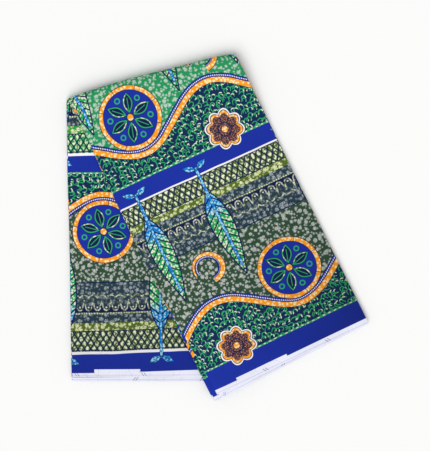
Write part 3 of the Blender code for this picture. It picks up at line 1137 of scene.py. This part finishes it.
def frond(below, middle):
    """Prints a frond over the colour below."""
    x = abs(repeat(motif_u, REPEAT, middle))
    envelope = x - swell
    leaflet = either(envelope + 1.0, abs(repeat(w - x * 0.9, LEAFLET_PITCH)) - LEAFLET_HALF)
    in_frond = between(FROND_ROOT, FROND_TIP)
    below = over(below, NAVY, both(inside(envelope - 1.5), in_frond))
    below = over(below, frond_colour, both(inside(leaflet), in_frond))
    on_stem = between(STEM_FOOT, STEM_TIP)
    below = outlined(below, lower, x - STEM_HALF, on_stem, line=STEM_LINE)
    down = STEM_FOOT + 4.0 - w
    outwards = x * math.sin(FOOT_SPREAD) + down * math.cos(FOOT_SPREAD)
    sideways = x * math.cos(FOOT_SPREAD) - down * math.sin(FOOT_SPREAD)
    foot_leaf = leaf_distance(outwards, sideways, 1.0, FOOT_LEAF, FOOT_LEAF_HALF)
    on_foot = both(inside(1.0 - outwards, outwards - FOOT_LEAF), in_cloth)
    below = outlined(below, lower, foot_leaf, on_foot, line=STEM_LINE)
    foot_vein = inside(abs(sideways) - 0.5, outwards - FOOT_VEIN)
    return over(below, NAVY, both(foot_vein, on_foot))


for middle in FROND_U:
    dye = frond(dye, middle)
tell("the fronds")

# %% [markdown]
# The open hooks float in the bubbled ground: most of a ring, orange outside and beaded blue inside,
# that tapers to a point.

# %% The hooks
HOOK_U = 168.0
HOOK_W = 204.0
HOOK_RADIUS = 27.0
HOOK_TURNED = 0.62
HOOK_OPEN = (0.08, 0.86)
HOOK_CORD = 5.2

radius, turns = polar(repeat(motif_u, REPEAT, HOOK_U), w - HOOK_W)
opening = calculate("FLOORED_MODULO", turns + HOOK_TURNED, 1.0)
taper = rise(opening, 0.0526, 0.5789)
present = inside(HOOK_OPEN[0] - opening, opening - HOOK_OPEN[1], soft=0.01)
hook_line = radius - HOOK_RADIUS
cord_line = hook_line + HOOK_CORD
round_hook = opening * (FULL_TURN * HOOK_RADIUS)
hook = outlined(dye, beaded(round_hook, cord_line), abs(cord_line) - (taper * 1.8 + 1.2))
hook = outlined(hook, orange, abs(hook_line) - (taper * 3.2 + 1.0))
dye = over(dye, hook, present)
tell("the hooks")

# %% [markdown]
# At each border a green line with cream dashes closes the design above. The selvedges stay white:
# a mill prints its marks there, but this one carries only plain ticks, a faint line, and two bare
# white tabs that reach into the blue.

# %% The green lines and the selvedges
DASH_PITCH = 11.0
DASH_Z = 2.0
SELVEDGE = 10.3
NEAR_SWING = 3.1
FAR_SWING = -1.0
SELVEDGE_WHITE = ink(229, 230, 243)
FAINT_LAVENDER = ink(204, 204, 234)
TICK_BLUE = ink(56, 60, 100)
TICK_PITCH = 127.0
TICK_LENGTH = 3.2
TAB_NEAR = (42.0, 129.0)
TAB_FAR = (5160.0, 5263.0)
TAB_RISE = 4.0

from_dashes = abs(z - DASH_Z)
dashes = inside(abs(repeat(u, DASH_PITCH)) - 2.2, from_dashes - 0.8)
dye = over(dye, over(LEAF_GREEN, CREAM, dashes), inside(from_dashes - 1.5))
dye = over(dye, rosette, on_rosette)

far_v = CLOTH_WIDTH * 1000.0 - plain_v
far_swing = cosine((LAYERS * STRIP_MM - plain_u) / (2.0 * STRIP_MM))
from_near = plain_v - SELVEDGE + strip_swing * NEAR_SWING
from_far = far_v - SELVEDGE + far_swing * FAR_SWING
near_tab = both(stripe(plain_u, *TAB_NEAR), inside(plain_v - SELVEDGE - TAB_RISE))
far_tab = both(stripe(plain_u, *TAB_FAR), inside(far_v - SELVEDGE - TAB_RISE))
white = either(inside(from_near), inside(from_far), near_tab, far_tab)
to_edge = calculate("MINIMUM", plain_v, far_v)
faint = over(SELVEDGE_WHITE, FAINT_LAVENDER, inside(abs(to_edge - 3.0) - 0.7))
tick_u = abs(abs(repeat(plain_u + to_edge * 0.7, TICK_PITCH, 12.0)) - 2.4) - 0.55
ticked = over(faint, TICK_BLUE, inside(tick_u, abs(to_edge - 4.6) - TICK_LENGTH))
dye = over(dye, ticked, white)
tell("the selvedges")

# %% [markdown]
# Last comes what the dye bath does, and some painted shade. Wax cracks, and dye creeps in as fine dark
# lines; the ground's tone varies in places; and single threads take more dye than their neighbours. The
# far corner of the cloth is darkened in its colour as painted shade, and the ground is also darker
# towards the first selvedge. Without these faint marks a print looks like plastic.

# %% Crackle, uneven dye and painted shade
CRACKLE_SIZE = 17.0
CRACKLE_HALF = 0.25
CRACKLE_DARKNESS = 0.35
THREAD_LENGTH = 60.0
# The first of these darkens the far corner as painted shade; the second darkens the ground towards the
# first selvedge.
FAR_CORNER_SHADE = 0.55
DARKER_NEAR_SELVEDGE = 0.26

ragged = place_of(noise(FLAT, 5.0, 61.0, detail=2.0) * 5.0, 0.0)
crackle_node = add_node("TexVoronoi", voronoi_dimensions="2D", feature="DISTANCE_TO_EDGE")
feed(crackle_node.inputs["Vector"], vector("ADD", FLAT, ragged))
feed(crackle_node.inputs["Scale"], 1.0 / CRACKLE_SIZE)
from_crack = Amount(crackle_node.outputs["Distance"]) * CRACKLE_SIZE - CRACKLE_HALF
crackle = both(inside(from_crack, soft=0.5), rise(noise(FLAT, 28.0, 62.0), 0.48, 0.68))
dye = over(dye, NAVY, crackle * CRACKLE_DARKNESS)

warp = vector("MULTIPLY", smooth_flat, (1.0 / THREAD_LENGTH, 1.0, 1.0))
weft = vector("MULTIPLY", smooth_flat, (1.0, 1.0 / THREAD_LENGTH, 1.0))
threads = noise(warp, 0.8, 63.0) + noise(weft, 0.8, 64.0)
brightness_factor = threads * 0.10 + noise(smooth_flat, 90.0, 65.0, detail=2.0) * 0.16 + 0.82
# Painted shade: the far corner is darkened in the colour. The ground is also darker towards the first
# selvedge. Neither reaches the white selvedges.
shaded_far_corner = rise(plain_u, 5150.0, 5450.0) * rise(plain_v, 820.0, 1200.0)
shade_and_selvedge_darkening = shaded_far_corner * FAR_CORNER_SHADE + rise(plain_v, 260.0, 0.0) * DARKER_NEAR_SELVEDGE
brightness_factor = brightness_factor * (1.0 - shade_and_selvedge_darkening * (1.0 - white))

output = print_tree.nodes.new("NodeGroupOutput")
# The dye is multiplied by the uneven tone, which carries the painted shade of the far corner.
feed(output.inputs["Dye"], vector("MULTIPLY", dye, brightness_factor))
tell("the crackle, uneven dye and painted shade")

# %% [markdown]
# ## The cotton
# Wax print is a plain weave of about twenty threads to the centimetre, pressed smooth. Each thread
# passes over one and under the next, so raised threads lie like the squares of a chessboard. That
# gives a Bump node its height; it shows close by and vanishes further off. The finish is nearly
# matt, with a soft sheen from the fibre ends.

# %% The cotton's weave and finish
THREAD = 0.5
UNEVEN_THREADS = 900.0
UNEVEN_SHARE = 0.45
WEAVE_HEIGHT = 0.00008
UNEVEN_SHINE = 0.06
WEAVE_WHITE = (1.0, 1.0, 1.0, 1.0)
WEAVE_BLACK = (0.0, 0.0, 0.0, 1.0)


def tune(node, settings):
    """Sets these inputs of a node."""
    for name, value in settings.items():
        node.inputs[name].default_value = value


def cotton(name, roughness):
    """Printed plain-weave cotton."""
    material = bpy.data.materials.new(name)
    material.use_nodes = True
    nodes = material.node_tree.nodes
    link = material.node_tree.links.new
    shader = nodes["Principled BSDF"]
    tune(shader, {"Specular IOR Level": 0.08, "Sheen Weight": 0.05, "Sheen Roughness": 0.45})
    design = nodes.new("ShaderNodeGroup")
    design.node_tree = print_tree
    link(design.outputs["Dye"], shader.inputs["Base Color"])

    flat = nodes.new("ShaderNodeUVMap")
    flat.uv_map = "Cloth"
    weave = nodes.new("ShaderNodeTexChecker")
    tune(weave, {"Scale": 1000.0 / THREAD, "Color1": WEAVE_WHITE, "Color2": WEAVE_BLACK})
    slub = nodes.new("ShaderNodeTexNoise")
    slub.noise_dimensions = "2D"
    tune(slub, {"Scale": UNEVEN_THREADS, "Detail": 3.0})
    height = nodes.new("ShaderNodeMix")
    height.inputs[0].default_value = UNEVEN_SHARE
    link(flat.outputs[0], weave.inputs["Vector"])
    link(flat.outputs[0], slub.inputs["Vector"])
    link(weave.outputs["Fac"], height.inputs[2])
    link(slub.outputs[0], height.inputs[3])
    relief = nodes.new("ShaderNodeBump")
    tune(relief, {"Strength": 0.35, "Distance": WEAVE_HEIGHT})
    link(height.outputs[0], relief.inputs["Height"])
    link(relief.outputs[0], shader.inputs["Normal"])

    shine = nodes.new("ShaderNodeMapRange")
    tune(shine, {"To Min": roughness - UNEVEN_SHINE, "To Max": roughness + UNEVEN_SHINE})
    link(slub.outputs[0], shine.inputs["Value"])
    link(shine.outputs[0], shader.inputs["Roughness"])
    return material


printed_cotton = cotton("printed_cotton", 0.72)
folded_cotton = cotton("folded_layers_cotton", 0.80)
for sheet in (outer_leaf, inner_leaf):
    sheet.data.materials.append(printed_cotton)
hidden_folds.data.materials.append(folded_cotton)
print("two cottons share one print")

# %% [markdown]
# The three sheets take the places of the three solids: each hangs from the bundle's root, and the solid
# it replaces is hidden.

# %% The sheets in the bundle
for sheet, node, slot in (
    (outer_leaf, "outer_leaf", "printed_cotton"),
    (inner_leaf, "inner_leaf", "printed_cotton"),
    (hidden_folds, "hidden_folds", "folded_layers"),
):
    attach(sheet, "root")
    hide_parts(node)
print("three sheets stand for", LAYERS, "layers")

# %% [markdown]
# ## The picture
# The bundle lies on a plain white table and is seen from straight above, so the camera hangs over it
# with a long lens. The light is that of a product picture: an even white room, and a sun lamp from
# the selvedges' side whose wide angle makes it as soft as a large window. They leave only a faint
# shadow round the cloth.

# %% The table, the light and the camera
PICTURE_CENTRE = (-0.0040, 0.0044)
PICTURE_HEIGHT = 0.857
CAMERA_HEIGHT = 4.0
TABLE = 40.0
BELOW_CLOTH = 0.0002
ROOM_STRENGTH = 0.60
LAMP_STRENGTH = 1.78
LAMP_ANGLE = math.radians(50.0)
LAMP_TILT = math.radians(38.0)
LAMP_TURN = math.radians(-14.0)

bpy.ops.mesh.primitive_plane_add(size=TABLE, location=(0.0, 0.0, -BELOW_CLOTH))
table = bpy.context.object
table.name = "table"
table_paint = bpy.data.materials.new("table_white")
table_paint.use_nodes = True
paint = table_paint.node_tree.nodes["Principled BSDF"]
tune(paint, {"Base Color": (0.93, 0.93, 0.92, 1.0), "Roughness": 0.9, "Specular IOR Level": 0.0})
table.data.materials.append(table_paint)

room = bpy.data.worlds.new("white_room")
room.use_nodes = True
tune(room.node_tree.nodes["Background"], {"Color": (1.0, 1.0, 1.0, 1.0), "Strength": ROOM_STRENGTH})
bpy.context.scene.world = room

lamp_data = bpy.data.lights.new("soft_lamp", "SUN")
lamp_data.angle = LAMP_ANGLE
lamp_data.energy = LAMP_STRENGTH
lamp = bpy.data.objects.new("soft_lamp", lamp_data)
lamp.rotation_euler = (LAMP_TILT, 0.0, LAMP_TURN)
bpy.context.collection.objects.link(lamp)

camera_data = bpy.data.cameras.new("overhead_camera")
camera_data.sensor_fit = "VERTICAL"
camera_data.angle_y = 2.0 * math.atan(0.5 * PICTURE_HEIGHT / CAMERA_HEIGHT)
camera = bpy.data.objects.new("overhead_camera", camera_data)
camera.location = (*PICTURE_CENTRE, CAMERA_HEIGHT)
bpy.context.collection.objects.link(camera)
bpy.context.scene.camera = camera
bpy.context.scene.view_settings.view_transform = "Standard"
print("the picture covers", PICTURE_HEIGHT, "m from top to bottom")
